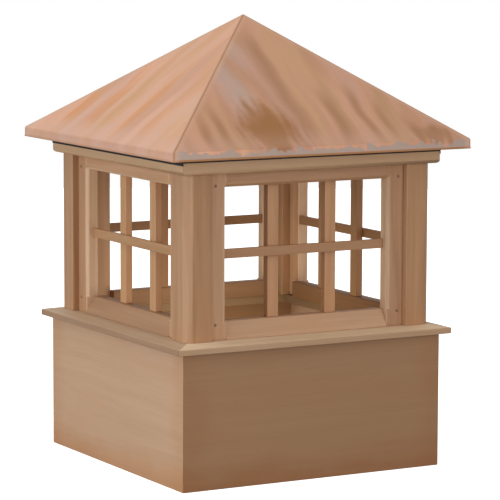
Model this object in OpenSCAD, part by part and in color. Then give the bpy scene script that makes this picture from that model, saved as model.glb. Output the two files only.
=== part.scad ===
// Square wooden roof cupola with four barred window openings and a copper hip roof.
// Millimetres, +Z up. The origin is on the ground at the middle of the base,
// and the front faces -Y. Every side piece is drawn for the front and turned round Z.

/* [Base] */
// Outside width of the square base
base_w = 660; // [460:5:920]
// Height of the base from the ground to the underside of the collar
base_h = 306; // [200:1:450]
// Thickness of the base boards
base_board_t = 18; // [12:1:25]

/* [Collar] */
// How far the collar stands out past the base
collar_overhang = 20; // [8:1:30]
// Width of the collar boards, measured inwards from their outer edge
collar_board_w = 89; // [80:1:110]
// Thickness of the collar boards
collar_t = 20; // [14:1:30]
// Height of the plain outer edge below the weathered slope
collar_edge_h = 13.5; // [6:0.5:14]

/* [Lantern] */
// Setback of the corner posts from the face of the base
post_setback = 15; // [5:1:25]
// Height of the corner posts
post_h = 368; // [250:1:550]
// Width of the square corner posts
post_w = 66; // [55:1:80]
// Width of the flat on the outer corner of each post, along each face
post_corner_cut = 17; // [5:1:22]

/* [Windows] */
// Setback of the window stiles from the face of the posts
stile_setback = 15; // [8:1:20]
// Width of the window stiles
stile_w = 42; // [30:1:60]
// Thickness of the window stiles
stile_t = 30; // [20:1:34]
// Width and depth of the bevel round the window opening
opening_bevel = 7; // [3:0.5:9]
// Height of the top rail below the crown
top_rail_h = 32; // [22:1:60]
// Depth of the top rail and the sill, from the stile face inwards
rail_depth = 47; // [40:1:50]
// Height of the sloping sill
sill_h = 38; // [25:1:60]
// How far the foot of the sill stands out past the stile face
sill_foot = 3; // [0:0.5:8]
// How far the sill leans back from its foot to its top edge
sill_slope_run = 21; // [10:1:22]
// Setback of the cross bar from the stile face
cross_bar_setback = 18; // [10:0.5:19]
// Height of the cross bar
cross_bar_h = 21; // [14:1:30]
// Thickness of the cross bar
cross_bar_t = 10; // [6:0.5:12]
// Width of the upright bars
upright_bar_w = 28; // [18:1:36]
// Thickness of the upright bars
upright_bar_t = 17; // [6:0.5:19]

/* [Crown] */
// How far the crown beams stand out past the posts
crown_overhang = 13; // [5:1:25]
// Height of the crown beams from the posts to the eaves of the roof
crown_h = 35; // [20:1:60]
// Width of the crown beams
crown_beam_w = 54; // [45:1:60]
// Radius of the rounded lower edge of the crown
crown_round = 8; // [3:0.5:12]

/* [Roof] */
// How far the eaves stand out past the crown
eaves_overhang = 49; // [30:1:90]
// Height of the turned-down copper edge
eaves_lip_h = 22; // [20:1:40]
// Height of the roof from the top of the copper edge to its point
roof_rise = 272; // [180:1:380]
// Thickness of the roof boards, measured straight up
roof_board_t = 18; // [12:1:22]
// Thickness of the copper, measured straight up on the slopes
copper_t = 2; // [1:0.5:3]

/* [Hidden] */
SIDES = [["front", 0], ["right", 90], ["back", 180], ["left", 270]];
CORNERS = [["front_right", 0], ["back_right", 90], ["back_left", 180], ["front_left", 270]];
SIDE_PIECES = ["base_panel", "collar_board", "window_stiles", "window_top_rail", "window_sill",
    "window_cross_bar", "window_upright_bars", "crown_beam", "roof_boards", "copper_slope"];

// Distances of the faces from the middle of the cupola
base_out = base_w / 2;
base_in = base_out - base_board_t;
collar_out = base_out + collar_overhang;
collar_in = collar_out - collar_board_w;
post_out = base_out - post_setback;
post_in = post_out - post_w;
stile_out = post_out - stile_setback;
rail_in = stile_out - rail_depth;
opening_half_w = post_in - stile_w;
crown_out = post_out + crown_overhang;
crown_in = crown_out - crown_beam_w;
eaves_out = crown_out + eaves_overhang;
boards_out = eaves_out - copper_t;
cross_bar_out = stile_out - cross_bar_setback;
upright_bar_out = cross_bar_out - cross_bar_t;

// Heights above the ground
collar_top = base_h + collar_t;
collar_edge_top = base_h + collar_edge_h;
post_top = collar_top + post_h;
opening_top = post_top - top_rail_h;
sill_top = collar_top + sill_h;
opening_mid = (sill_top + opening_top) / 2;
eaves_z = post_top + crown_h;
lip_top = eaves_z + eaves_lip_h;

roof_slope = roof_rise / eaves_out;
copper_peak = lip_top + roof_rise;
boards_peak = copper_peak - copper_t;
attic_peak = boards_peak - roof_board_t;

upright_bar_gap = (2 * opening_half_w - 2 * upright_bar_w) / 3;
upright_bar_mid = (upright_bar_gap + upright_bar_w) / 2;
spare = 50;

wood = "#b08a66";
light_wood = "#bd9c79";
dark_wood = "#9d7552";
copper = "#cf9c78";

// Height of a roof surface with this peak, at this distance from the middle
function slope_height(peak, distance) = peak - distance * roof_slope;

// Turns a front piece to its own side or corner
module turned(place) {
    rotate([0, 0, place[1]])
        children();
}

// A straight front piece, from points of [distance out from the middle, height]
module front_bar(section, half_length) {
    translate([-half_length, 0, 0])
        rotate([90, 0, 90])
            linear_extrude(2 * half_length)
                polygon([for (point = section) [-point[0], point[1]]]);
}

// The same bar with both ends mitred, so that four of them close a square
module mitred_bar(section, reach, low, high) {
    intersection() {
        front_bar(section, reach);
        front_quarter(reach, low, high);
    }
}

// The space between the two diagonals on the front side
module front_quarter(reach, low, high) {
    translate([0, 0, low])
        linear_extrude(high - low)
            polygon([[0, 0], [-reach, -reach], [reach, -reach]]);
}

// A square pyramid of the roof's own slope, cut off at a half width and at a floor
module roof_pyramid(peak, half_w, floor_z) {
    eave_z = slope_height(peak, half_w);
    outline = [[-half_w, floor_z], [half_w, floor_z], [half_w, eave_z], [0, peak], [-half_w, eave_z]];
    intersection() {
        translate([0, half_w, 0])
            rotate([90, 0, 0])
                linear_extrude(2 * half_w)
                    polygon(outline);
        translate([-half_w, 0, 0])
            rotate([90, 0, 90])
                linear_extrude(2 * half_w)
                    polygon(outline);
    }
}

// The bevelled mouth of the window, cut out of the stiles and the top rail
module window_mouth() {
    mouth_top = opening_top + opening_bevel;
    front_half_w = opening_half_w + opening_bevel;
    intersection() {
        translate([0, 0, sill_top])
            linear_extrude(mouth_top - sill_top)
                polygon([
                    [-opening_half_w, -stile_out + opening_bevel],
                    [opening_half_w, -stile_out + opening_bevel],
                    [front_half_w, -stile_out],
                    [-front_half_w, -stile_out]
                ]);
        front_bar([
            [stile_out, sill_top],
            [stile_out, mouth_top],
            [stile_out - opening_bevel, opening_top],
            [stile_out - opening_bevel, sill_top]
        ], front_half_w);
    }
}

// One board of the plain square base
module base_panel() {
    color(wood)
        mitred_bar([[base_in, 0], [base_out, 0], [base_out, base_h], [base_in, base_h]], base_out, 0, base_h);
}

// One board of the projecting collar, flat under the posts and weathered outside them
module collar_board() {
    color(light_wood)
        mitred_bar([
            [collar_in, base_h],
            [collar_out, base_h],
            [collar_out, collar_edge_top],
            [post_out, collar_top],
            [collar_in, collar_top]
        ], collar_out, base_h, collar_top);
}

// Corner post at the front right, with a flat on its outer corner
module corner_post() {
    color(wood)
        translate([0, 0, collar_top])
            linear_extrude(post_h)
                polygon([
                    [post_in, -post_in],
                    [post_in, -post_out],
                    [post_out - post_corner_cut, -post_out],
                    [post_out, -post_out + post_corner_cut],
                    [post_out, -post_in]
                ]);
}

// The two stiles beside a window
module window_stiles() {
    color(wood)
        for (hand = [-1, 1])
            difference() {
                translate([(hand < 0) ? -post_in : opening_half_w, -stile_out, collar_top])
                    cube([stile_w, stile_t, post_h]);
                window_mouth();
            }
}

// The rail over a window
module window_top_rail() {
    color(dark_wood)
        difference() {
            translate([-opening_half_w, -stile_out, opening_top])
                cube([2 * opening_half_w, rail_depth, top_rail_h]);
            window_mouth();
        }
}

// The sloping sill under a window
module window_sill() {
    foot = stile_out + sill_foot;
    color(wood)
        front_bar([
            [rail_in, collar_top],
            [foot, collar_top],
            [foot - sill_slope_run, sill_top],
            [rail_in, sill_top]
        ], opening_half_w);
}

// The bar across the middle of a window
module window_cross_bar() {
    color(wood)
        translate([-opening_half_w, -cross_bar_out, opening_mid - cross_bar_h / 2])
            cube([2 * opening_half_w, cross_bar_t, cross_bar_h]);
}

// The two upright bars behind the cross bar
module window_upright_bars() {
    color(wood)
        for (hand = [-1, 1])
            translate([hand * upright_bar_mid - upright_bar_w / 2, -upright_bar_out, sill_top])
                cube([upright_bar_w, upright_bar_t, opening_top - sill_top]);
}

// One beam of the crown: rounded below, and cut to the roof's slope above
module crown_beam() {
    seat_z = slope_height(attic_peak, crown_out);
    seat_run = crown_beam_w / 2;
    color(light_wood)
        difference() {
            mitred_bar([
                [crown_in, post_top],
                [crown_out, post_top],
                [crown_out, seat_z],
                [crown_out - seat_run, seat_z + seat_run * roof_slope],
                [crown_in, seat_z + seat_run * roof_slope]
            ], crown_out, post_top, copper_peak);
            crown_edge();
        }
}

// What the rounding takes off the lower edge of the crown
module crown_edge() {
    difference() {
        front_bar([
            [crown_out - crown_round, post_top - spare],
            [crown_out + spare, post_top - spare],
            [crown_out + spare, post_top + crown_round],
            [crown_out - crown_round, post_top + crown_round]
        ], crown_out + spare);
        translate([-crown_out - 2 * spare, -crown_out + crown_round, post_top + crown_round])
            rotate([0, 90, 0])
                cylinder(h = 2 * crown_out + 4 * spare, r = crown_round, $fn = 64);
    }
}

// The boards under one slope of the roof
module roof_boards() {
    color(dark_wood)
        intersection() {
            difference() {
                roof_pyramid(boards_peak, boards_out, eaves_z);
                roof_pyramid(attic_peak, boards_out + spare, eaves_z - spare);
            }
            front_quarter(boards_out, eaves_z, boards_peak);
        }
}

// The copper over one slope of the roof, with its turned-down edge
module copper_slope() {
    color(copper)
        intersection() {
            difference() {
                roof_pyramid(copper_peak, eaves_out, eaves_z);
                roof_pyramid(boards_peak, boards_out, eaves_z - spare);
            }
            front_quarter(eaves_out, eaves_z, copper_peak);
        }
}

for (side = SIDES) {
    turned(side) base_panel();
    turned(side) collar_board();
    turned(side) window_stiles();
    turned(side) window_top_rail();
    turned(side) window_sill();
    turned(side) window_cross_bar();
    turned(side) window_upright_bars();
    turned(side) crown_beam();
    turned(side) roof_boards();
    turned(side) copper_slope();
}
for (corner = CORNERS)
    turned(corner) corner_post();
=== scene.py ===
import math
import random

import bmesh
import bpy
from mathutils import Matrix, Vector


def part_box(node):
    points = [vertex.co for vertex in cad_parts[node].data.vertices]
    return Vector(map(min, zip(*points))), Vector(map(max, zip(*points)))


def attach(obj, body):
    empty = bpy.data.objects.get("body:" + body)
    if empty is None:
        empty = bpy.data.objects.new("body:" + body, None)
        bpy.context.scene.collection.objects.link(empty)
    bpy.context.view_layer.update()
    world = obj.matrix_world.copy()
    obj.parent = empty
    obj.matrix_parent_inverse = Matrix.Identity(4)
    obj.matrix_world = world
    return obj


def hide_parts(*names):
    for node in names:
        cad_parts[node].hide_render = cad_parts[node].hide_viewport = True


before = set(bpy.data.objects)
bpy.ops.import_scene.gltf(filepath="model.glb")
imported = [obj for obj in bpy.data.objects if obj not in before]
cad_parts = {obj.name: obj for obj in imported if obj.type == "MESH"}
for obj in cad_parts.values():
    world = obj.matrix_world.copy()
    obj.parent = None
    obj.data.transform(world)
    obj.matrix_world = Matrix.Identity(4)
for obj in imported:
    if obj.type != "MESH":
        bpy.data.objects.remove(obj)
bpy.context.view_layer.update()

sides = ["front", "right", "back", "left"]       # each one a quarter turn on from the last
levels = ["x", "y", "x", "y"]                    # the level direction along each side
corners = ["front_right", "back_right", "back_left", "front_left"]
axisOf = {"x": 0, "y": 1, "z": 2}
chance = random.Random(11)                       # one fixed seed for every board's tone
print("frame loaded:", len(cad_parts), "nodes")


# helpers for node trees
def addNode(tree, kind, settings=None, inputs=None):
    node = tree.nodes.new(kind)
    for name, value in (settings or {}).items():
        setattr(node, name, value)
    for name, value in (inputs or {}).items():
        if isinstance(value, bpy.types.NodeSocket):
            tree.links.new(value, node.inputs[name])
        else:
            node.inputs[name].default_value = value
    return node


def number(tree, operation, a, b=0.0, c=0.0):
    inputs = {0: a, 1: b, 2: c} if operation == "MULTIPLY_ADD" else {0: a, 1: b}
    return addNode(tree, "ShaderNodeMath", {"operation": operation}, inputs).outputs[0]


def times(tree, a, b):
    return number(tree, "MULTIPLY", a, b)


def addedSwing(tree, swing, reach, start):       # start, moved by a 0..1 swing taken about its middle
    return number(tree, "MULTIPLY_ADD", number(tree, "SUBTRACT", swing, 0.5), reach, start)


def largest(tree, values):
    result = values[0]
    for value in values[1:]:
        result = number(tree, "MAXIMUM", result, value)
    return result


def combined(tree, x, y, z):
    return addNode(tree, "ShaderNodeCombineXYZ", {}, {0: x, 1: y, 2: z}).outputs[0]


def separated(tree, place):
    return addNode(tree, "ShaderNodeSeparateXYZ", {}, {0: place}).outputs


def vector(tree, operation, a, b=(0, 0, 0)):
    return addNode(tree, "ShaderNodeVectorMath", {"operation": operation}, {0: a, 1: b}).outputs[0]


def fade(tree, value, low, high):                # 0 below low, 1 above high, smooth between
    inputs = {"Value": value, "From Min": low, "From Max": high}
    return addNode(tree, "ShaderNodeMapRange", {"interpolation_type": "SMOOTHSTEP"}, inputs).outputs[0]


def spread(tree, value, low, high):              # 0..1 stretched to low..high
    inputs = {"Value": value, "To Min": low, "To Max": high}
    return addNode(tree, "ShaderNodeMapRange", {}, inputs).outputs[0]


def noise(tree, place, scale=1.0, detail=2.0, roughness=0.5):
    inputs = {"Vector": place, "Scale": scale, "Detail": detail, "Roughness": roughness}
    return addNode(tree, "ShaderNodeTexNoise", {}, inputs).outputs


def pattern(tree, place, cycles, detail, roughness=0.5):   # noise with its own fineness in each direction
    return noise(tree, vector(tree, "MULTIPLY", place, cycles), 1.0, detail, roughness)["Fac"]


def mixColour(tree, amount, a, b, blend="MIX"):
    inputs = {0: amount}
    for index, value in ((6, a), (7, b)):
        inputs[index] = value if isinstance(value, bpy.types.NodeSocket) else (*value, 1.0)
    return addNode(tree, "ShaderNodeMix", {"data_type": "RGBA", "blend_type": blend}, inputs).outputs[2]


def newMaterial(name):
    material = bpy.data.materials.new(name)
    material.use_nodes = True
    material.node_tree.nodes.clear()
    return material, material.node_tree


def finishMaterial(tree, colour, roughness, height, bump, shader=None):
    bumpNode = addNode(tree, "ShaderNodeBump", {}, {
        "Strength": bump["strength"], "Distance": bump["depth"], "Height": height})
    principled = addNode(tree, "ShaderNodeBsdfPrincipled", {}, {
        "Base Color": colour, "Roughness": roughness, "Normal": bumpNode.outputs[0], **(shader or {})})
    output = addNode(tree, "ShaderNodeOutputMaterial")
    tree.links.new(principled.outputs[0], output.inputs["Surface"])


# camera, studio and floor
cameraView = {
    "turn": -29.22,          # degrees round from the front, towards the left side
    "rise": 7.2,             # degrees above level
    "lean": 0.19,            # degrees of roll
    "distance": 6.544,       # metres
    "lens": 203.6,           # millimetres
    "aimHeight": 0.4786,     # metres above the ground
    "aimSide": 0.0175,       # metres to the right of the middle
}


def placeCamera(view):
    turn, rise, lean = (math.radians(view[name]) for name in ("turn", "rise", "lean"))
    back = Vector((math.sin(turn) * math.cos(rise), -math.cos(turn) * math.cos(rise), math.sin(rise)))
    level = Vector((math.cos(turn), math.sin(turn), 0))
    upright = back.cross(level)
    right = level * math.cos(lean) + upright * math.sin(lean)
    up = back.cross(right)
    data = bpy.data.cameras.new("camera")
    data.lens = view["lens"]
    camera = bpy.data.objects.new("camera", data)
    bpy.context.scene.collection.objects.link(camera)
    place = Vector((0, 0, view["aimHeight"])) + level * view["aimSide"] + back * view["distance"]
    camera.matrix_world = Matrix.Translation(place) @ Matrix((right, up, back)).transposed().to_4x4()
    bpy.context.scene.camera = camera


placeCamera(cameraView)
bpy.context.scene.view_settings.view_transform = "Standard"

studio = {
    "backdrop": (1.0, 1.0, 1.0),
    "ambient": (1.0, 0.99, 0.98),
    "ambientStrength": 0.66,
    "floorRadius": 6.0,
    "floorTone": (0.36, 0.35, 0.34),
    "floorPaint": (0.9, 0.9, 0.9),   # as the camera sees it
    "lightsAim": (0, 0, 0.5),
    "floorLift": 0.78,       # how far the shadow on the floor is lifted to the pale backdrop
    "softboxes": [           # name, place, size, power in watts, colour
        ("keyLight", (-4.0, -1.0, 0.75), 2.2, 84, (0.93, 0.97, 1.0)),
        ("frontLight", (0.8, -4.7, 0.6), 2.6, 48, (1.0, 0.97, 0.94)),
        ("topLight", (-1.4, -0.2, 4.2), 2.2, 34, (1.0, 0.99, 0.97)),
    ],
    "innerGlows": [          # place, radius, power, colour
        ((0, 0, 0.50), 0.10, 0.35, (1.0, 0.92, 0.76)),
        ((0, 0, 0.20), 0.12, 2.0, (0.96, 1.0, 0.90)),
    ],
}


def buildWorld(setup):
    world = bpy.data.worlds.new("studioWorld")
    world.use_nodes = True
    bpy.context.scene.world = world
    tree = world.node_tree
    tree.nodes.clear()
    seen = addNode(tree, "ShaderNodeBackground", {}, {"Color": (*setup["backdrop"], 1)})
    light = addNode(tree, "ShaderNodeBackground", {}, {
        "Color": (*setup["ambient"], 1), "Strength": setup["ambientStrength"]})
    path = addNode(tree, "ShaderNodeLightPath")
    mix = addNode(tree, "ShaderNodeMixShader", {}, {
        0: path.outputs["Is Camera Ray"], 1: light.outputs[0], 2: seen.outputs[0]})
    output = addNode(tree, "ShaderNodeOutputWorld")
    tree.links.new(mix.outputs[0], output.inputs["Surface"])


def buildFloor(setup):
    bm = bmesh.new()
    bmesh.ops.create_circle(bm, cap_ends=True, segments=96, radius=setup["floorRadius"])
    mesh = bpy.data.meshes.new("floor")
    bm.to_mesh(mesh)
    bm.free()
    floor = bpy.data.objects.new("floor", mesh)
    bpy.context.scene.collection.objects.link(floor)
    material, tree = newMaterial("paleFloor")
    plain = addNode(tree, "ShaderNodeBsdfDiffuse", {}, {"Color": (*setup["floorTone"], 1)})
    pale = addNode(tree, "ShaderNodeBsdfDiffuse", {}, {"Color": (*setup["floorPaint"], 1)})
    lift = addNode(tree, "ShaderNodeEmission", {}, {"Strength": setup["floorLift"]})
    seen = addNode(tree, "ShaderNodeAddShader", {}, {0: pale.outputs[0], 1: lift.outputs[0]})
    path = addNode(tree, "ShaderNodeLightPath")
    mix = addNode(tree, "ShaderNodeMixShader", {}, {
        0: path.outputs["Is Camera Ray"], 1: plain.outputs[0], 2: seen.outputs[0]})
    output = addNode(tree, "ShaderNodeOutputMaterial")
    tree.links.new(mix.outputs[0], output.inputs["Surface"])
    mesh.materials.append(material)


def addSoftbox(aim, name, place, size, power, colour):
    data = bpy.data.lights.new(name, "AREA")
    data.size = size
    data.energy = power
    data.color = colour
    light = bpy.data.objects.new(name, data)
    light.location = place
    light.rotation_euler = (Vector(aim) - Vector(place)).to_track_quat("-Z", "Y").to_euler()
    bpy.context.scene.collection.objects.link(light)


def addInnerGlow(place, radius, power, colour):  # stands in for the light that comes in at the windows
    data = bpy.data.lights.new("innerGlow", "POINT")
    data.shadow_soft_size = radius
    data.energy = power
    data.color = colour
    light = bpy.data.objects.new("innerGlow", data)
    light.location = place
    light.visible_camera = False
    light.visible_glossy = False
    bpy.context.scene.collection.objects.link(light)


buildWorld(studio)
buildFloor(studio)
for softbox in studio["softboxes"]:
    addSoftbox(studio["lightsAim"], *softbox)
for glow in studio["innerGlows"]:
    addInnerGlow(*glow)
print("studio ready")


# wood finish, shared by every timber piece
def withTintsAndPaintedLight(tree, colour, stains):               # zones of another tone, by place or by the way a face turns, most of them painted light and shade
    if not stains:
        return colour
    place = addNode(tree, "ShaderNodeTexCoord").outputs["Object"]
    x, y, z = separated(tree, place)
    fromX, fromY = number(tree, "ABSOLUTE", x), number(tree, "ABSOLUTE", y)
    facing = separated(tree, addNode(tree, "ShaderNodeNewGeometry").outputs["True Normal"])
    measures = {
        "height": z,
        "across": x,
        "out": number(tree, "MAXIMUM", fromX, fromY),        # out from the middle towards a side
        "along": number(tree, "MINIMUM", fromX, fromY),      # from the middle of that side towards its ends
        # lets faces be painted lighter or darker by the way they turn, as painted light
        "facingX": number(tree, "ABSOLUTE", facing[0]),      # 1 on faces turned right or left
    }
    blotch = noise(tree, place, 11.0, detail=3)["Fac"]
    for measure, clearAt, fullAt, depth, uneven, tint in stains:
        mask = fade(tree, addedSwing(tree, blotch, uneven, measures[measure]), clearAt, fullAt)
        colour = mixColour(tree, times(tree, mask, depth), colour, tint, "MULTIPLY")
    return colour


woodFigure = {
    "waver": (1.3, 7, 7),            # cycles per metre along the grain and across it, as the next four
    "streaks": (1.3, 52, 52),
    "fibres": (14, 700, 700),
    "clouds": (4.5, 11, 11),
    "swathe": (0.7, 9, 9),
    "waverReach": (0.0, 0.07, 0.07),     # metres that the waver bends the rings and streaks
    "ownShift": (7.0, 0.31, 0.17),       # metres that the figure moves from board to board, at most
    "ringScale": 0.314,                  # wave scale that sets the rings one metre apart
}


def woodMaterial(name, look):
    material, tree = newMaterial(name)
    board = addNode(tree, "ShaderNodeAttribute", {"attribute_name": "boardGrain"}).outputs["Vector"]
    tone = addNode(tree, "ShaderNodeAttribute", {"attribute_name": "boardTone"}).outputs["Fac"]
    edge = addNode(tree, "ShaderNodeAttribute", {"attribute_name": "easedEdge"}).outputs["Fac"]
    ownShift = vector(tree, "MULTIPLY", combined(tree, tone, tone, tone), woodFigure["ownShift"])
    grain = vector(tree, "ADD", board, ownShift)
    waver = noise(tree, vector(tree, "MULTIPLY", grain, woodFigure["waver"]), detail=2)["Color"]
    waver = vector(tree, "SUBTRACT", waver, (0.5, 0.5, 0.5))
    waver = vector(tree, "MULTIPLY", waver, woodFigure["waverReach"])
    bent = vector(tree, "ADD", grain, waver)
    rings = addNode(tree, "ShaderNodeTexWave", {
        "wave_type": "RINGS", "rings_direction": "X", "wave_profile": "SAW"}, {
        "Vector": bent, "Scale": woodFigure["ringScale"] / look["ringSpacing"], "Distortion": 1.6,
        "Detail": 2.0, "Detail Scale": 2.0}).outputs["Fac"]
    streaks = pattern(tree, bent, woodFigure["streaks"], 3, 0.65)
    fibres = pattern(tree, grain, woodFigure["fibres"], 3)
    clouds = pattern(tree, grain, woodFigure["clouds"], 3)
    swathe = pattern(tree, bent, woodFigure["swathe"], 1)
    rings = addedSwing(tree, rings, fade(tree, swathe, 0.35, 0.65), 0.5)
    figure = addedSwing(tree, rings, look["ringDepth"], 0.5)
    figure = addedSwing(tree, streaks, look["streakDepth"], figure)
    figure = addedSwing(tree, fibres, look["fibreDepth"], figure)
    colour = mixColour(tree, fade(tree, figure, 0.0, 1.0), look["light"], look["dark"])
    cloudy = times(tree, fade(tree, clouds, 0.45, 0.75), look["cloudDepth"])
    colour = mixColour(tree, cloudy, colour, look["warm"])
    brightness = addedSwing(tree, tone, look["toneDepth"], 1.0)
    brightness = number(tree, "MULTIPLY_ADD", edge, look["edgeWear"], brightness)
    grey = {part: brightness for part in ("Red", "Green", "Blue")}
    shade = addNode(tree, "ShaderNodeCombineColor", {}, grey).outputs[0]
    colour = mixColour(tree, 1.0, colour, shade, "MULTIPLY")
    colour = withTintsAndPaintedLight(tree, colour, look["stains"])
    roughness = spread(tree, figure, look["roughness"] - 0.06, look["roughness"] + 0.08)
    height = number(tree, "MULTIPLY_ADD", rings, -0.3, fibres)
    finishMaterial(tree, colour, roughness, height, {"strength": 0.35, "depth": 0.0004})
    return material


def wood(light, dark, warm, **changes):
    look = {
        "light": light, "dark": dark, "warm": warm,
        "ringSpacing": 0.0075,   # metres from ring to ring
        "ringDepth": 0.22, "streakDepth": 1.0, "fibreDepth": 0.30,
        "cloudDepth": 0.45, "toneDepth": 0.12, "edgeWear": 0.08, "roughness": 0.55,
        "stains": [],            # measure, clear at, full at, depth, unevenness, tint
    }
    look.update(changes)
    return look


# timber pieces, each a clean copy of its board with eased edges
joinedWithin = 0.00001                           # metres
mitredWithin = 0.00002
turnedWithin = 0.001                             # part of a face's normal


def cleanUp(bm, keptEdges=()):
    bmesh.ops.remove_doubles(bm, verts=bm.verts[:], dist=joinedWithin)
    kept = set(keptEdges)
    bmesh.ops.dissolve_limit(bm, angle_limit=math.radians(0.5), verts=bm.verts[:],
                             edges=[edge for edge in bm.edges if edge not in kept])
    bmesh.ops.recalc_face_normals(bm, faces=bm.faces[:])


def easeEdges(bm, width, steps=3, sharpest=28):
    eased = bm.faces.layers.float.new("easedEdge")
    edges = [edge for edge in bm.edges if edge.calc_face_angle(0) > math.radians(sharpest)]
    result = bmesh.ops.bevel(bm, geom=edges, offset=width, offset_type="OFFSET", segments=steps,
                             profile=0.5, affect="EDGES", clamp_overlap=True)
    for face in result["faces"]:
        face[eased] = 1.0
        face.smooth = True


def markGrain(mesh, along, pairAxis=None):
    order = [axisOf[along]] + [axis for axis in range(3) if axis != axisOf[along]]
    shifts = [Vector((chance.uniform(0, 9), chance.uniform(0.1, 0.3), chance.uniform(0.05, 0.2)))
              for hand in range(2)]
    tones = [chance.random() for hand in range(2)]
    ownTone = "boardTone" not in mesh.attributes
    if ownTone:
        mesh.attributes.new("boardTone", "FLOAT", "POINT")
    mesh.attributes.new("boardGrain", "FLOAT_VECTOR", "POINT")
    hands = [1 if pairAxis and vertex.co[axisOf[pairAxis]] > 0 else 0 for vertex in mesh.vertices]
    places = [Vector([vertex.co[axis] for axis in order]) + shifts[hand]
              for vertex, hand in zip(mesh.vertices, hands)]
    mesh.attributes["boardGrain"].data.foreach_set("vector", [part for place in places for part in place])
    if ownTone:
        mesh.attributes["boardTone"].data.foreach_set("value", [tones[hand] for hand in hands])


def addPiece(name, mesh, material, nodes):
    piece = bpy.data.objects.new(name, mesh)
    bpy.context.scene.collection.objects.link(piece)
    if material:
        mesh.materials.append(material)
    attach(piece, "root")
    if nodes:
        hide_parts(*nodes)


def timberPiece(name, nodeName, along, pairAxis, ease, material):
    bm = bmesh.new()
    bm.from_mesh(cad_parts[nodeName].data)
    cleanUp(bm)
    easeEdges(bm, ease)
    mesh = bpy.data.meshes.new(name)
    bm.to_mesh(mesh)
    bm.free()
    markGrain(mesh, along, pairAxis)
    addPiece(name, mesh, material, [nodeName])


def isMitreFace(face):
    return all(abs(abs(part) - math.sqrt(0.5)) < turnedWithin for part in face.normal[:2])


def onMitre(edge):
    return all(abs(abs(vertex.co.x) - abs(vertex.co.y)) < mitredWithin for vertex in edge.verts)


def closedRing(suffix, ease):                    # the four boards of a ring joined, with eased edges
    ring = bmesh.new()
    for side in sides:
        ring.from_mesh(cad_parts[f"{side}_{suffix}"].data)
    bmesh.ops.delete(ring, geom=[face for face in ring.faces if isMitreFace(face)], context="FACES")
    bmesh.ops.remove_doubles(ring, verts=ring.verts[:], dist=joinedWithin)
    cleanUp(ring, [edge for edge in ring.edges if onMitre(edge)])
    easeEdges(ring, ease)
    return ring


def cutAtMitres(ring, turn, gap):                # one side of the ring, with its ends closed
    board = ring.copy()
    for hand in (-1, 1):
        outward = Matrix.Rotation(turn, 3, "Z") @ Vector((hand, 1, 0)).normalized()
        bmesh.ops.bisect_plane(board, geom=board.verts[:] + board.edges[:] + board.faces[:],
                               plane_co=outward * -gap, plane_no=outward, clear_outer=True)
        rim = [edge for edge in board.edges if edge.is_boundary]
        bmesh.ops.holes_fill(board, edges=rim, sides=0)
    bmesh.ops.recalc_face_normals(board, faces=board.faces[:])
    return board


def ringPieces(suffix, pieceName, ease, gap, materials):
    ring = closedRing(suffix, ease)
    for index, side in enumerate(sides):
        board = cutAtMitres(ring, index * math.pi / 2, gap)
        mesh = bpy.data.meshes.new(pieceName)
        board.to_mesh(mesh)
        board.free()
        markGrain(mesh, levels[index])
        addPiece(f"{pieceName}.{side}", mesh, materials[index % len(materials)],
                 [f"{side}_{suffix}"])
    ring.free()


def outerFace(node):                             # how far a front piece's outer face is from the middle
    return -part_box(node)[0].y


def innerFace(node):
    return -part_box(node)[1].y


stileFace = outerFace("front_window_stiles")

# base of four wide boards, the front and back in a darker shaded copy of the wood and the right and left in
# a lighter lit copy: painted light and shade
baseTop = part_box("front_base_panel")[1].z
baseDarkZonesAndShade = [
    # darker and warmer towards the bottom
    ("height", 0.085, -0.005, 0.75, 0.09, (0.92, 0.70, 0.50)),
    # darker and warmer towards each corner
    ("along", 0.245, 0.340, 0.45, 0.10, (0.92, 0.74, 0.56)),
    # painted shade: a dark band along the top of the base, under the collar
    ("height", baseTop - 0.0035, baseTop - 0.0010, 0.75, 0.0, (0.55, 0.38, 0.26)),
]
baseBoards = {
    "ease": 0.0015,          # metres taken off each edge
    "jointGap": 0.0002,      # half of the hairline at each mitre
    "sunny": wood((0.560, 0.365, 0.232), (0.480, 0.295, 0.178), (0.52, 0.300, 0.170), toneDepth=0.02,
                  streakDepth=0.9, ringDepth=0.12, fibreDepth=0.25, stains=baseDarkZonesAndShade),
    "shady": wood((0.380, 0.212, 0.106), (0.330, 0.174, 0.082), (0.355, 0.178, 0.078), toneDepth=0.02,
                  streakDepth=0.9, ringDepth=0.12, fibreDepth=0.25, stains=baseDarkZonesAndShade),
}
baseMaterials = [woodMaterial("baseWoodShadedCopy", baseBoards["shady"]),
                 woodMaterial("baseWoodLitCopy", baseBoards["sunny"])]
ringPieces("base_panel", "baseBoard", baseBoards["ease"], baseBoards["jointGap"], baseMaterials)
print("base boards built")

# projecting collar and the crown under the eaves
collarFace = outerFace("front_collar_board")


def collarWood(light, dark, warm, edgeTint):
    return wood(light, dark, warm, streakDepth=1.3, cloudDepth=0.5, toneDepth=0.04, stains=[
        # painted shade: the collar's outer face darker than its top
        ("out", collarFace - 0.0013, collarFace - 0.0004, 1.0, 0.0, edgeTint),
        # painted shade: the collar's inner part darker
        ("out", stileFace - 0.010, stileFace - 0.030, 1.0, 0.0, (0.42, 0.35, 0.27))])


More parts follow.
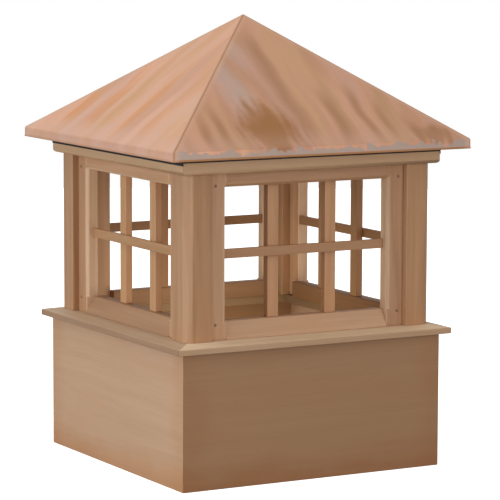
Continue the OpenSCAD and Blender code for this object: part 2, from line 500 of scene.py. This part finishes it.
trimBoards = {
    "ease": 0.0014,
    "jointGap": 0.0003,
    # the sunny copy is darker and goes on the right and left, the shady copy is painted paler and goes on
    # the front and back: painted light
    "collarSunny": collarWood((0.513, 0.356, 0.226), (0.427, 0.282, 0.170), (0.524, 0.386, 0.277),
                              (0.68, 0.585, 0.53)),
    "collarShady": collarWood((0.760, 0.555, 0.360), (0.640, 0.442, 0.275), (0.77, 0.600, 0.435),
                              (0.66, 0.58, 0.52)),
    # painted light: the crown's faces not turned right or left made a little lighter
    "crown": wood((0.57, 0.365, 0.205), (0.48, 0.292, 0.158), (0.56, 0.375, 0.225), streakDepth=1.3,
                  toneDepth=0.05, stains=[("facingX", 0.9, 0.5, 1.0, 0.0, (1.09, 1.07, 1.07))]),
}
collarMaterials = [woodMaterial("collarWoodLitCopy", trimBoards["collarShady"]),
                   woodMaterial("collarWood", trimBoards["collarSunny"])]
crownMaterials = [woodMaterial("crownWood", trimBoards["crown"])]
for suffix, pieceName, materials in (("collar_board", "collarBoard", collarMaterials),
                                     ("crown_beam", "crownBeam", crownMaterials)):
    ringPieces(suffix, pieceName, trimBoards["ease"], trimBoards["jointGap"], materials)
print("collar and crown built")

# corner posts
cornerPosts = {
    "ease": 0.0016,
    "look": wood((0.49, 0.275, 0.145), (0.38, 0.200, 0.098), (0.44, 0.215, 0.100), streakDepth=2.2,
                 ringDepth=0.08, edgeWear=0.06, stains=[
                     # painted shade: faces turned to the front and back darker and warmer
                     ("facingX", 0.8, 0.4, 1.0, 0.0, (0.92, 0.87, 0.79)),
                     # painted shade: faces turned right or left darker
                     ("facingX", 0.5, 0.9, 1.0, 0.0, (0.90, 0.90, 0.91))]),
}
postMaterial = woodMaterial("postWood", cornerPosts["look"])
for corner in corners:
    timberPiece(f"cornerPost.{corner}", f"{corner}_post", "z", None, cornerPosts["ease"],
                postMaterial)
print("corner posts built")

# window joinery
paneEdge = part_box("front_window_sill")[1].x
uprightBack = innerFace("front_window_upright_bars")
crossBack = innerFace("front_window_cross_bar")
unlit = (0.66, 0.61, 0.54)
uprightInside = ("out", uprightBack + 0.0014, uprightBack + 0.0004, 1.0, 0.0, unlit)
crossInside = ("out", crossBack + 0.0014, crossBack + 0.0004, 1.0, 0.0, unlit)
# painted shade on the side windows' bars, on their faces turned right or left
barSides = ("facingX", 0.5, 0.9, 1.0, 0.0, (0.84, 0.88, 0.86))


# tone scales the bars' colour for each side, lit and shaded copies: painted light
def barWood(tone, stains):
    light, dark, warm = ([tone * part for part in colour] for colour in (
        (0.55, 0.296, 0.148), (0.44, 0.224, 0.104), (0.51, 0.234, 0.100)))
    return wood(light, dark, warm, ringDepth=0.12, streakDepth=1.5, roughness=0.5, stains=stains)


def frameWood(stains):
    return wood((0.510, 0.288, 0.158), (0.400, 0.212, 0.108), (0.47, 0.235, 0.110), ringDepth=0.12,
                streakDepth=1.8, stains=stains)


def sillWood(light, dark, warm):
    return wood(light, dark, warm, streakDepth=1.8, cloudDepth=0.7, stains=[
        # painted shade: the sill's inner part darker
        ("out", stileFace - 0.021, stileFace - 0.042, 1.0, 0.0, (0.60, 0.52, 0.42))])


windowParts = {                                  # front: front and back windows, side: right and left ones
    "ease": 0.0018,
    "barEase": 0.0012,
    # painted light: on the front and back frames the faces turned right or left are lighter, and the stile
    # at the left end is lighter where the post shades it
    "front": frameWood([("facingX", 0.5, 0.65, 1.0, 0.0, (1.16, 1.38, 1.62)),
                        ("across", 0.0015 - paneEdge, 0.0005 - paneEdge, 1.0, 0.0, (1.24, 1.31, 1.38))]),
    # painted light: on the side frames the faces not turned right or left are lighter
    "side": frameWood([("facingX", 0.8, 0.72, 1.0, 0.0, (1.40, 1.64, 1.92))]),
    # the front and back sills are a lighter copy of the side ones: painted light
    "sillFront": sillWood((0.590, 0.362, 0.220), (0.480, 0.278, 0.156), (0.55, 0.306, 0.168)),
    "sillSide": sillWood((0.385, 0.212, 0.109), (0.302, 0.158, 0.078), (0.352, 0.176, 0.081)),
    # painted shade on the front and back bars' faces turned right or left
    "barFront": barWood(1.0, [("facingX", 0.5, 0.9, 1.0, 0.0, (0.60, 0.54, 0.48)), uprightInside]),
    "barSide": barWood(1.16, [barSides, uprightInside]),
    "crossFront": barWood(0.88, [crossInside]),
    "crossSide": barWood(1.0, [barSides, crossInside]),
}
frameMaterials = [woodMaterial("windowWoodFront", windowParts["front"]),
                  woodMaterial("windowWoodSide", windowParts["side"])]
sillMaterials = [woodMaterial("sillWoodLitCopy", windowParts["sillFront"]),
                 woodMaterial("sillWood", windowParts["sillSide"])]
uprightMaterials = [woodMaterial("uprightWoodFront", windowParts["barFront"]),
                    woodMaterial("uprightWoodSide", windowParts["barSide"])]
crossMaterials = [woodMaterial("crossWoodFront", windowParts["crossFront"]),
                  woodMaterial("crossWoodSide", windowParts["crossSide"])]
windowPieces = [                                 # piece, node, an upright pair or not, edges, finishes, slot
    ("windowStiles", "window_stiles", True, "ease", frameMaterials, "window_wood"),
    ("windowTopRail", "window_top_rail", False, "ease", frameMaterials, "window_wood"),
    ("windowSill", "window_sill", False, "ease", sillMaterials, "window_wood"),
    ("crossBar", "window_cross_bar", False, "barEase", crossMaterials, "bar_wood"),
    ("uprightBars", "window_upright_bars", True, "barEase", uprightMaterials, "bar_wood"),
]
for index, side in enumerate(sides):
    for pieceName, suffix, upright, ease, materials, slot in windowPieces:
        grain, pairAxis = ("z", levels[index]) if upright else (levels[index], None)
        timberPiece(f"{pieceName}.{side}", f"{side}_{suffix}", grain, pairAxis, windowParts[ease],
                    materials[index % 2])
print("windows built")


# geometry node trees
weldedWithin = 0.00005                           # metres


def newTree(name, sockets):
    tree = bpy.data.node_groups.new(name, "GeometryNodeTree")
    tree.interface.new_socket("Geometry", in_out="INPUT", socket_type="NodeSocketGeometry")
    for socketName, kind in sockets.items():
        tree.interface.new_socket(socketName, in_out="INPUT", socket_type=f"NodeSocket{kind}")
    tree.interface.new_socket("Geometry", in_out="OUTPUT", socket_type="NodeSocketGeometry")
    return tree, tree.nodes.new("NodeGroupInput").outputs


def endTree(tree, geometry, material):
    real = addNode(tree, "GeometryNodeRealizeInstances", {}, {0: geometry})
    painted = addNode(tree, "GeometryNodeSetMaterial", {}, {
        "Geometry": real.outputs[0], "Material": material})
    addNode(tree, "NodeGroupOutput", {}, {0: painted.outputs[0]})


def grow(name, startMesh, tree, values):         # runs a tree once and returns its plain mesh
    carrier = bpy.data.objects.new(name, startMesh)
    bpy.context.scene.collection.objects.link(carrier)
    modifier = carrier.modifiers.new(name, "NODES")
    modifier.node_group = tree
    for item in tree.interface.items_tree:
        if item.in_out == "INPUT" and item.name in values:
            modifier[item.identifier] = values[item.name]
    result = carrier.evaluated_get(bpy.context.evaluated_depsgraph_get())
    mesh = bpy.data.meshes.new_from_object(result)
    mesh.name = name
    carrier.modifiers.clear()
    bpy.data.objects.remove(carrier)
    return mesh


def loopMesh(name, outline):                     # closed outline of (distance out, height)
    mesh = bpy.data.meshes.new(name)
    count = len(outline)
    mesh.from_pydata([(out, -height, 0) for out, height in outline],
                     [(index, (index + 1) % count) for index in range(count)], [])
    return mesh


def sweptAcross(tree, loop, columns):            # the outline carried along X from -1 to 1
    path = addNode(tree, "GeometryNodeCurvePrimitiveLine", {}, {"Start": (-1, 0, 0), "End": (1, 0, 0)})
    cut = addNode(tree, "GeometryNodeResampleCurve", {}, {"Curve": path.outputs[0], "Count": columns})
    outline = addNode(tree, "GeometryNodeMeshToCurve", {}, {0: loop})
    return addNode(tree, "GeometryNodeCurveToMesh", {}, {
        "Curve": cut.outputs[0], "Profile Curve": outline.outputs[0], "Fill Caps": True}).outputs[0]


def drawnToMitres(tree, geometry, gap):          # slides the points along X until the ends lie on the mitres
    x, y, z = separated(tree, addNode(tree, "GeometryNodeInputPosition").outputs[0])
    reach = number(tree, "SUBTRACT", times(tree, y, -1.0), gap)
    target = combined(tree, times(tree, x, number(tree, "MAXIMUM", reach, 0.0)), y, z)
    moved = addNode(tree, "GeometryNodeSetPosition", {}, {"Geometry": geometry, "Position": target})
    return addNode(tree, "GeometryNodeMergeByDistance", {}, {
        "Geometry": moved.outputs[0], "Distance": weldedWithin}).outputs[0]


# copper roof
copperLow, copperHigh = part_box("front_copper_slope")
boardsLow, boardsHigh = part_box("front_roof_boards")
copperRoof = {
    "columns": 66,           # points along the eaves
    "rows": 40,              # points from the peak to the eaves
    "sheet": 0.0018,         # metres
    "bend": 0.006,           # radius of the bend at the eaves
    "hem": 0.0019,           # radius of the folded hem
    "hipGap": 0.0001,
    "ripple": 0.0007,        # height of the soft ripples in the sheet
    "rippleSize": 9.0,       # ripples per metre
    "calmHips": (0.004, 0.07),     # no ripples within the first distance, all of them past the second
    "calmEaves": (0.012, 0.09),
    "bendSteps": 5,
    "hemSteps": 8,
    "hemFrom": 50,           # degrees above level where the fold starts
    "hemSweep": 280,         # degrees that it goes round
    "hemClose": 1.6,         # where the fold closes, in hem radii above its middle
    "innerRows": 12,
    "smoothBelow": 40,       # degrees
    "lip": 0.022,            # height of the turned-down edge
    "eaves": -copperLow.y,
    "peak": copperHigh.z,
}
roofSlope = (copperRoof["peak"] - copperLow.z - copperRoof["lip"]) / copperRoof["eaves"]
slopeAngle = math.atan(roofSlope)


def copperOutline(roof):
    eaves, bend, hem, sheet, start = (roof[name] for name in ("eaves", "bend", "hem", "sheet", "hipGap"))
    lipTop = copperLow.z + roof["lip"]
    turnAngle = math.pi / 2 - slopeAngle
    tangent = bend * math.tan(turnAngle / 2)
    run = eaves - tangent * math.cos(slopeAngle)
    outs = [start + (run - start) * row / (roof["rows"] - 1) for row in range(roof["rows"])]
    points = [(out, roof["peak"] - out * roofSlope) for out in outs]
    turns = [turnAngle * (1 - step / roof["bendSteps"]) for step in range(1, roof["bendSteps"] + 1)]
    bendOut, bendUp = eaves - bend, lipTop - tangent
    points += [(bendOut + bend * math.cos(turn), bendUp + bend * math.sin(turn)) for turn in turns]
    hemOut, hemUp = eaves - sheet / 2, copperLow.z + hem
    folds = [math.radians(roof["hemFrom"] - roof["hemSweep"] * step / roof["hemSteps"])
             for step in range(roof["hemSteps"] + 1)]
    inner = eaves - sheet
    points.append((eaves, hemUp + hem * roof["hemClose"]))
    points += [(hemOut + hem * math.cos(fold), hemUp + hem * math.sin(fold)) for fold in folds]
    points.append((inner, hemUp + hem * roof["hemClose"]))
    drop = sheet / math.cos(slopeAngle)
    shares = [row / roof["innerRows"] for row in range(roof["innerRows"] + 1)]
    outs = [inner * (1 - share) + start * share for share in shares]
    points += [(out, roof["peak"] - drop - out * roofSlope) for out in outs]
    return points


def copperTree():
    tree, given = newTree("copperSlope", {
        "Columns": "Int", "Hip Gap": "Float", "Ripple": "Float", "Ripple Size": "Float",
        "Seed": "Float", "Copper": "Material"})
    swept = sweptAcross(tree, given["Geometry"], given["Columns"])
    slope = drawnToMitres(tree, swept, given["Hip Gap"])
    place = addNode(tree, "GeometryNodeInputPosition").outputs[0]
    x, y = separated(tree, place)[:2]
    fromHip = number(tree, "SUBTRACT", times(tree, y, -1.0), number(tree, "ABSOLUTE", x))
    fromEaves = number(tree, "ADD", y, copperRoof["eaves"])
    calm = times(tree, fade(tree, fromHip, *copperRoof["calmHips"]),
                 fade(tree, fromEaves, *copperRoof["calmEaves"]))
    swell = addNode(tree, "ShaderNodeTexNoise", {"noise_dimensions": "4D"}, {
        "Vector": place, "W": given["Seed"], "Scale": given["Ripple Size"], "Detail": 1.0}).outputs["Fac"]
    lift = times(tree, times(tree, swell, given["Ripple"]), calm)
    facing = addNode(tree, "GeometryNodeInputNormal").outputs[0]
    offset = addNode(tree, "ShaderNodeVectorMath", {"operation": "SCALE"}, {
        0: facing, "Scale": lift}).outputs[0]
    rippled = addNode(tree, "GeometryNodeSetPosition", {}, {"Geometry": slope, "Offset": offset})
    endTree(tree, rippled.outputs[0], given["Copper"])
    return tree


def shadeByAngle(mesh, sharpest):
    bm = bmesh.new()
    bm.from_mesh(mesh)
    for face in bm.faces:
        face.smooth = True
    for edge in bm.edges:
        edge.smooth = edge.calc_face_angle(0) < math.radians(sharpest)
    bm.to_mesh(mesh)
    bm.free()


def markSheet(mesh, sideIndex):                  # stores the way along the eaves and down from the peak
    sheet = mesh.attributes.new("sheet", "FLOAT_VECTOR", "POINT")
    lipTop = copperLow.z + copperRoof["lip"]
    for index, vertex in enumerate(mesh.vertices):
        down = -vertex.co.y / math.cos(slopeAngle) + max(0.0, lipTop - vertex.co.z)
        sheet.data[index].vector = (vertex.co.x, down, sideIndex)


copperLook = {
    "clean": (0.70, 0.385, 0.245),
    "pink": (0.67, 0.385, 0.275),
    "tan": (0.67, 0.385, 0.222),
    "dark": (0.45, 0.225, 0.112),
    "brown": (0.37, 0.165, 0.056),
    "orange": (0.60, 0.272, 0.128),
    "grey": (0.44, 0.345, 0.300),
    "pale": (0.68, 0.435, 0.350),
    "hemTone": (0.42, 0.200, 0.085),
    "lipShadeTint": (0.97, 0.90, 0.87),
    "leftLightTint": (1.17, 1.17, 1.12),
    "metallic": 0.72,
    "roughness": 0.46,
    "lean": 0.06,            # how far the run-off streaks lean, metres sideways for each metre down
    # cycles per metre along the eaves and down the slope, then a shift from side to side
    "streaks": (17.0, 2.0, 5.0),
    "bands": (12.0, 1.3, 9.0),
    "fine": (120.0, 8.0, 5.0),
    "mottle": (70.0, 45.0, 5.0),
    "drips": (42.0, 7.0, 5.0),
    # distances above the bend at the eaves, below it, to each side of it, and above the hem's foot
    "paleFrom": (0.070, 0.010),
    "greyBelow": (0.0035, 0.0065),
    "lipEdge": 0.003,
    "hemAbove": (0.0058, 0.0045),
    # pale band and dark line beside each hip: clear at, full at, depth, tone
    "hipBands": [
        (0.020, 0.006, 0.45, (0.72, 0.440, 0.310)),
        (0.0048, 0.0020, 0.8, (0.52, 0.260, 0.115)),
    ],
    # soft brown runs: side number, along the eaves, from and to (down from the peak), half width, depth
    "runs": [
        (0, -0.036, 0.09, 0.44, 0.030, 0.60),
        (0, 0.046, 0.30, 0.46, 0.022, 0.75),
        (0, 0.118, 0.28, 0.46, 0.022, 0.75),
        (0, 0.170, 0.34, 0.46, 0.019, 0.65),
        (0, 0.222, 0.38, 0.46, 0.018, 0.55),
        (0, -0.300, 0.38, 0.46, 0.021, 0.85),
        (0, -0.252, 0.34, 0.45, 0.020, 0.75),
        (3, 0.028, 0.24, 0.42, 0.024, 0.22),
        (3, -0.115, 0.30, 0.44, 0.028, 0.26),
        (3, 0.120, 0.22, 0.42, 0.022, 0.20),
        (1, -0.060, 0.18, 0.44, 0.028, 0.50),
        (1, 0.170, 0.34, 0.46, 0.022, 0.50),
        (2, 0.080, 0.20, 0.45, 0.026, 0.50),
        (2, -0.210, 0.36, 0.46, 0.024, 0.45),
    ],
    # tarnish spots: side number, along the eaves, down from the peak, half width, half length, depth
    "tarnish": [
        (0, -0.110, 0.416, 0.062, 0.090, 1.0),
        (0, 0.292, 0.448, 0.050, 0.034, 0.95),
        (3, -0.120, 0.225, 0.044, 0.080, 0.85),
        (3, -0.262, 0.370, 0.060, 0.070, 0.90),
        (3, -0.322, 0.420, 0.060, 0.045, 0.80),
        (3, -0.110, 0.330, 0.030, 0.110, 0.70),
        (3, 0.035, 0.330, 0.028, 0.140, 0.60),
        (3, 0.130, 0.400, 0.026, 0.100, 0.45),
        (1, 0.090, 0.380, 0.060, 0.080, 0.75),
        (1, -0.210, 0.350, 0.036, 0.070, 0.40),
        (2, -0.080, 0.410, 0.062, 0.070, 0.80),
        (2, 0.190, 0.370, 0.045, 0.070, 0.45),
    ],
    # dull bluish bloom: side number, along the eaves, down from the peak, half width, half length, depth
    "bloom": [
        (0, -0.145, 0.240, 0.040, 0.140, 0.55),
        (0, -0.090, 0.120, 0.030, 0.080, 0.35),
        (1, 0.020, 0.260, 0.045, 0.120, 0.40),
        (2, 0.110, 0.300, 0.045, 0.110, 0.40),
    ],
}


def softSpot(tree, run, spot, roughen, lean):    # a soft-edged oval on one slope
    sideIndex, atAlong, atDown, halfWidth, halfLength, depth = spot
    away = vector(tree, "SUBTRACT", run, (atAlong - lean * atDown, atDown, sideIndex))
    away = vector(tree, "MULTIPLY", away, (1 / halfWidth, 1 / halfLength, 9.0))
    far = addNode(tree, "ShaderNodeVectorMath", {"operation": "LENGTH"}, {0: away}).outputs["Value"]
    return times(tree, fade(tree, number(tree, "ADD", far, roughen), 1.30, 0.30), depth)


def softRun(tree, run, mark):                    # a soft-edged streak straight down one slope
    sideIndex, atAlong, start, end, halfWidth, depth = mark
    along, down, side = separated(tree, run)
    across = number(tree, "ABSOLUTE", number(tree, "SUBTRACT", along, atAlong))
    mask = times(tree, fade(tree, across, halfWidth, halfWidth * 0.1), depth)
    mask = times(tree, mask, fade(tree, down, start - 0.05, start + 0.05))
    mask = times(tree, mask, fade(tree, down, end + 0.03, end - 0.05))
    offSide = number(tree, "ABSOLUTE", number(tree, "SUBTRACT", side, sideIndex))
    return times(tree, mask, fade(tree, offSide, 0.6, 0.4))


def copperPlaces(tree, look):                    # what the layers of the finish are laid out by
    sheet = addNode(tree, "ShaderNodeAttribute", {"attribute_name": "sheet"}).outputs["Vector"]
    along, down, side = separated(tree, sheet)
    soft = noise(tree, sheet, 6.0, detail=1)["Fac"]
    leaning = number(tree, "MULTIPLY_ADD", down, -look["lean"], along)
    run = combined(tree, addedSwing(tree, soft, 0.05, leaning), down, side)
    return {
        "along": along, "down": down, "run": run, "soft": soft,
        "onLeft": fade(tree, side, 2.4, 2.6),
        "ragged": noise(tree, sheet, 55.0, detail=4)["Fac"],
        "coarse": noise(tree, sheet, 22.0, detail=2)["Fac"],
        "streaks": pattern(tree, run, look["streaks"], 1),
        "fine": pattern(tree, run, look["fine"], 3),
        "mottle": pattern(tree, run, look["mottle"], 4),
    }


def cleanCopper(tree, look, at):
    bands = pattern(tree, at["run"], look["bands"], 1)
    colour = mixColour(tree, fade(tree, bands, 0.36, 0.64), look["tan"], look["pink"])
    fromMiddle = number(tree, "ABSOLUTE", number(tree, "SUBTRACT", bands, 0.5))
    colour = mixColour(tree, fade(tree, fromMiddle, 0.10, 0.0), colour, look["clean"])
    streaked = times(tree, fade(tree, at["streaks"], 0.42, 0.68), spread(tree, at["onLeft"], 0.42, 0.22))
    brushed = times(tree, fade(tree, at["fine"], 0.45, 0.75), 0.09)
    mottled = times(tree, fade(tree, at["mottle"], 0.55, 0.80), 0.14)
    for amount in (streaked, brushed, mottled):
        colour = mixColour(tree, amount, colour, look["dark"])
    return colour


def markedCopper(tree, look, at, colour):        # with its bloom, brown runs and tarnish
    run, ragged, lean = at["run"], at["ragged"], look["lean"]
    blur = number(tree, "MULTIPLY_ADD", ragged, 1.2, -0.6)
    bloom = largest(tree, [softSpot(tree, run, spot, blur, lean) for spot in look["bloom"]])
    colour = mixColour(tree, bloom, colour, look["grey"])
    runs = largest(tree, [softRun(tree, run, mark) for mark in look["runs"]])
    colour = mixColour(tree, runs, colour, look["dark"])
    drips = pattern(tree, run, look["drips"], 1)
    fray = number(tree, "MULTIPLY_ADD", drips, 1.9, number(tree, "MULTIPLY_ADD", ragged, 0.3, -1.22))
    tarnish = largest(tree, [softSpot(tree, run, spot, fray, lean) for spot in look["tarnish"]])
    brown = mixColour(tree, at["onLeft"], look["brown"], look["orange"])
    return mixColour(tree, tarnish, colour, brown), bloom, tarnish


def eavesCopper(tree, look, at, colour):         # paler towards the eaves, with a ragged grey band on the lip as painted reflection, painted shade on the lip, painted light on the left slope, and a hem
    down, onLeft = at["down"], at["onLeft"]
    bendDown = copperRoof["eaves"] / math.cos(slopeAngle)
    hemDown = bendDown + copperRoof["lip"]
    far, near = look["paleFrom"]
    pale = times(tree, fade(tree, down, bendDown - far, bendDown - near), spread(tree, at["soft"], 0.1, 0.9))
    colour = mixColour(tree, times(tree, pale, spread(tree, onLeft, 0.35, 1.0)), colour, look["pale"])
    # painted reflection: a ragged grey band over the lip, weaker on the left slope, that also dulls the
    # metal there
    edgeLine = addedSwing(tree, at["coarse"], 0.040, addedSwing(tree, at["ragged"], 0.040, down))
    near, far = look["greyBelow"]
    lipReflectionGrey = times(tree, fade(tree, edgeLine, bendDown + near, bendDown + far),
                      spread(tree, onLeft, 0.88, 0.10))
    # painted shade: the lip's colour darkened, less so on the left slope
    onLip = fade(tree, down, bendDown - look["lipEdge"], bendDown + look["lipEdge"])
    onLip = times(tree, onLip, spread(tree, onLeft, 1.0, 0.4))
    colour = mixColour(tree, onLip, colour, look["lipShadeTint"], "MULTIPLY")
    bleached = times(tree, fade(tree, at["streaks"], 0.52, 0.36), 0.50)
    colour = mixColour(tree, times(tree, bleached, onLeft), colour, look["pale"])
    # painted light: the left slope's colour made lighter
    colour = mixColour(tree, onLeft, colour, look["leftLightTint"], "MULTIPLY")
    colour = mixColour(tree, lipReflectionGrey, colour, look["grey"])
    far, near = look["hemAbove"]
    onHem = times(tree, fade(tree, down, hemDown - far, hemDown - near), spread(tree, onLeft, 1.0, 0.35))
    return mixColour(tree, onHem, colour, look["hemTone"]), lipReflectionGrey


def hipCopper(tree, look, at, colour):
    out = number(tree, "MINIMUM", times(tree, at["down"], math.cos(slopeAngle)), copperRoof["eaves"])
    fromHip = number(tree, "SUBTRACT", out, number(tree, "ABSOLUTE", at["along"]))
    for clearAt, fullAt, depth, tone in look["hipBands"]:
        colour = mixColour(tree, times(tree, fade(tree, fromHip, clearAt, fullAt), depth), colour, tone)
    return colour


def copperMaterial(look):
    material, tree = newMaterial("copperSheet")
    at = copperPlaces(tree, look)
    colour, bloom, tarnish = markedCopper(tree, look, at, cleanCopper(tree, look, at))
    colour, lipReflectionGrey = eavesCopper(tree, look, at, colour)
    colour = hipCopper(tree, look, at, colour)
    dull = largest(tree, [times(tree, lipReflectionGrey, 0.7), times(tree, tarnish, 0.6), bloom])
    metallic = spread(tree, dull, look["metallic"], look["metallic"] * 0.35)
    roughness = number(tree, "MULTIPLY_ADD", dull, 0.14, look["roughness"] - 0.06)
    roughness = number(tree, "MULTIPLY_ADD", at["fine"], 0.12, roughness)
    height = number(tree, "MULTIPLY_ADD", at["fine"], 0.30, times(tree, at["mottle"], 0.5))
    finishMaterial(tree, colour, roughness, height, {"strength": 0.22, "depth": 0.0005},
                   {"Metallic": metallic})
    return material


copperSheetMaterial = copperMaterial(copperLook)
slopeTree = copperTree()
for index, side in enumerate(sides):
    name = f"copperSlope.{side}"
    mesh = grow(name, loopMesh(name, copperOutline(copperRoof)), slopeTree, {
        "Columns": copperRoof["columns"], "Hip Gap": copperRoof["hipGap"], "Ripple": copperRoof["ripple"],
        "Ripple Size": copperRoof["rippleSize"], "Seed": 3.0 + index, "Copper": copperSheetMaterial})
    markSheet(mesh, index)
    mesh.transform(Matrix.Rotation(index * math.pi / 2, 4, "Z"))
    shadeByAngle(mesh, copperRoof["smoothBelow"])
    addPiece(name, mesh, None, [f"{side}_copper_slope"])
print("copper roof built")

# black strip over the top of the crown, mostly hidden behind the copper's lip: painted shadow, the dark line
# under the lip
feltEdge = {
    "above": 0.0110,         # how far it reaches above the foot of the lip
    "below": (0.0078, 0.0139),     # and below it, on the front and back, and on the right and left
    "thickness": 0.0009,
    "bedding": 0.0006,       # how far it is pressed into the crown
}
crownFace = outerFace("front_crown_beam")


def darkLineMaterial():
    material, tree = newMaterial("darkLineFinish")
    place = addNode(tree, "ShaderNodeTexCoord").outputs["Object"]
    grit = noise(tree, place, 700.0, detail=3)["Fac"]
    colour = mixColour(tree, fade(tree, grit, 0.4, 0.7), (0.012, 0.011, 0.011), (0.035, 0.033, 0.034))
    finishMaterial(tree, colour, spread(tree, grit, 0.75, 0.95), grit, {"strength": 0.5, "depth": 0.0004})
    return material


def darkLineTree():
    tree, given = newTree("feltEdge", {"Columns": "Int", "Hip Gap": "Float", "Felt": "Material"})
    swept = sweptAcross(tree, given["Geometry"], given["Columns"])
    endTree(tree, drawnToMitres(tree, swept, given["Hip Gap"]), given["Felt"])
    return tree


def darkLineOutline(strip, below):
    outer, inner = crownFace + strip["thickness"], crownFace - strip["bedding"]
    top, foot = copperLow.z + strip["above"], copperLow.z - below
    return [(outer, top), (outer, foot), (inner, foot), (inner, top)]


# painted shadow: the black strip's finish
darkLineFinish = darkLineMaterial()
darkLineRows = darkLineTree()
for index, side in enumerate(sides):
    name = f"feltEdge.{side}"
    outline = darkLineOutline(feltEdge, feltEdge["below"][index % 2])
    mesh = grow(name, loopMesh(name, outline), darkLineRows, {"Columns": 2, "Hip Gap": 0.0, "Felt": darkLineFinish})
    mesh.transform(Matrix.Rotation(index * math.pi / 2, 4, "Z"))
    addPiece(name, mesh, None, [])
print("felt edge built")

# boards under the copper
roofBoards = {
    "rows": 5,
    "thickness": 0.018,      # straight up
    "joint": 0.0012,         # open joint between two boards
    "groove": 0.003,         # bevel beside each joint, seen from below
    "hipGap": 0.0004,
    "look": wood((0.40, 0.215, 0.105), (0.28, 0.135, 0.060), (0.34, 0.165, 0.075), ringDepth=0.6,
                 streakDepth=1.2, toneDepth=0.22, roughness=0.65),
}


def roofBoardOutline(boards):
    pitch = -boardsLow.y / boards["rows"]
    thick = boards["thickness"]
    inner, outer = boards["joint"] / 2, pitch - boards["joint"] / 2
    groove = boards["groove"]
    top = boardsHigh.z

    def under(out, rise=0.0):
        return (out, top - thick - out * roofSlope + rise)

    return [(inner, top - inner * roofSlope), (outer, top - outer * roofSlope), under(outer, groove),
            under(outer - groove), under(inner + groove), under(inner, groove)]


def roofBoardTree():
    tree, given = newTree("roofBoardRows", {
        "Rows": "Int", "Pitch": "Vector", "Hip Gap": "Float", "Seed": "Int", "Wood": "Material"})
    row = sweptAcross(tree, given["Geometry"], 2)
    line = addNode(tree, "GeometryNodeMeshLine", {}, {"Count": given["Rows"], "Offset": given["Pitch"]})
    rows = addNode(tree, "GeometryNodeInstanceOnPoints", {}, {"Points": line.outputs[0], "Instance": row})
    tone = addNode(tree, "FunctionNodeRandomValue", {"data_type": "FLOAT"}, {"Seed": given["Seed"]})
    toned = addNode(tree, "GeometryNodeStoreNamedAttribute", {"data_type": "FLOAT", "domain": "INSTANCE"}, {
        "Geometry": rows.outputs[0], "Name": "boardTone", "Value": tone.outputs[1]})
    real = addNode(tree, "GeometryNodeRealizeInstances", {}, {0: toned.outputs[0]})
    endTree(tree, drawnToMitres(tree, real.outputs[0], given["Hip Gap"]), given["Wood"])
    return tree


roofBoardMaterial = woodMaterial("roofBoardWood", roofBoards["look"])
rowTree = roofBoardTree()
rowPitch = -boardsLow.y / roofBoards["rows"]
for index, side in enumerate(sides):
    name = f"roofBoards.{side}"
    mesh = grow(name, loopMesh(name, roofBoardOutline(roofBoards)), rowTree, {
        "Rows": roofBoards["rows"], "Pitch": (0, -rowPitch, -rowPitch * roofSlope),
        "Hip Gap": roofBoards["hipGap"], "Seed": 20 + index, "Wood": roofBoardMaterial})
    mesh.transform(Matrix.Rotation(index * math.pi / 2, 4, "Z"))
    markGrain(mesh, levels[index])
    addPiece(name, mesh, None, [f"{side}_roof_boards"])
print("roof boards built")

# nail heads in the stiles
nails = {
    "radius": 0.0034,
    "proud": 0.0010,
    "fromTop": 0.028,        # metres below the top of a stile
    "fromFoot": 0.034,       # metres above its foot
    "fromPost": 0.015,       # metres from the post
}


def nailTree():
    tree, given = newTree("stileNails", {"Radius": "Float", "Proud": "Float", "Metal": "Material"})
    ball = addNode(tree, "GeometryNodeMeshUVSphere", {}, {
        "Segments": 14, "Rings": 8, "Radius": given["Radius"]})
    size = combined(tree, 1.0, 1.0, number(tree, "DIVIDE", given["Proud"], given["Radius"]))
    facing = addNode(tree, "GeometryNodeInputNamedAttribute", {"data_type": "FLOAT_VECTOR"}, {
        "Name": "outward"}).outputs[0]
    turned = addNode(tree, "FunctionNodeAlignRotationToVector", {"axis": "Z"}, {"Vector": facing}).outputs[0]
    heads = addNode(tree, "GeometryNodeInstanceOnPoints", {}, {
        "Points": given["Geometry"], "Instance": ball.outputs[0], "Rotation": turned, "Scale": size})
    smooth = addNode(tree, "GeometryNodeSetShadeSmooth", {}, {0: heads.outputs[0]})
    endTree(tree, smooth.outputs[0], given["Metal"])
    return tree


def nailPoints(setup):
    low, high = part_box("front_window_stiles")
    reach = high.x - setup["fromPost"]
    spots = []
    for index in range(len(sides)):
        turn = Matrix.Rotation(index * math.pi / 2, 3, "Z")
        for hand in (-1, 1):
            for height in (low.z + setup["fromFoot"], high.z - setup["fromTop"]):
                spots.append((turn @ Vector((hand * reach, low.y, height)), turn @ Vector((0, -1, 0))))
    mesh = bpy.data.meshes.new("nailPoints")
    mesh.from_pydata([place for place, outward in spots], [], [])
    facing = mesh.attributes.new("outward", "FLOAT_VECTOR", "POINT")
    for index, (place, outward) in enumerate(spots):
        facing.data[index].vector = outward
    return mesh


def nailMaterial():
    material, tree = newMaterial("nailSteel")
    place = addNode(tree, "ShaderNodeTexCoord").outputs["Object"]
    grime = noise(tree, place, 900.0, detail=3)["Fac"]
    colour = mixColour(tree, fade(tree, grime, 0.4, 0.65), (0.32, 0.175, 0.105), (0.19, 0.105, 0.065))
    finishMaterial(tree, colour, spread(tree, grime, 0.4, 0.65), grime, {"strength": 0.3, "depth": 0.0002},
                   {"Metallic": 0.6})
    return material


nailMesh = grow("stileNails", nailPoints(nails), nailTree(), {
    "Radius": nails["radius"], "Proud": nails["proud"], "Metal": nailMaterial()})
addPiece("stileNails", nailMesh, None, [])
print("nails built")
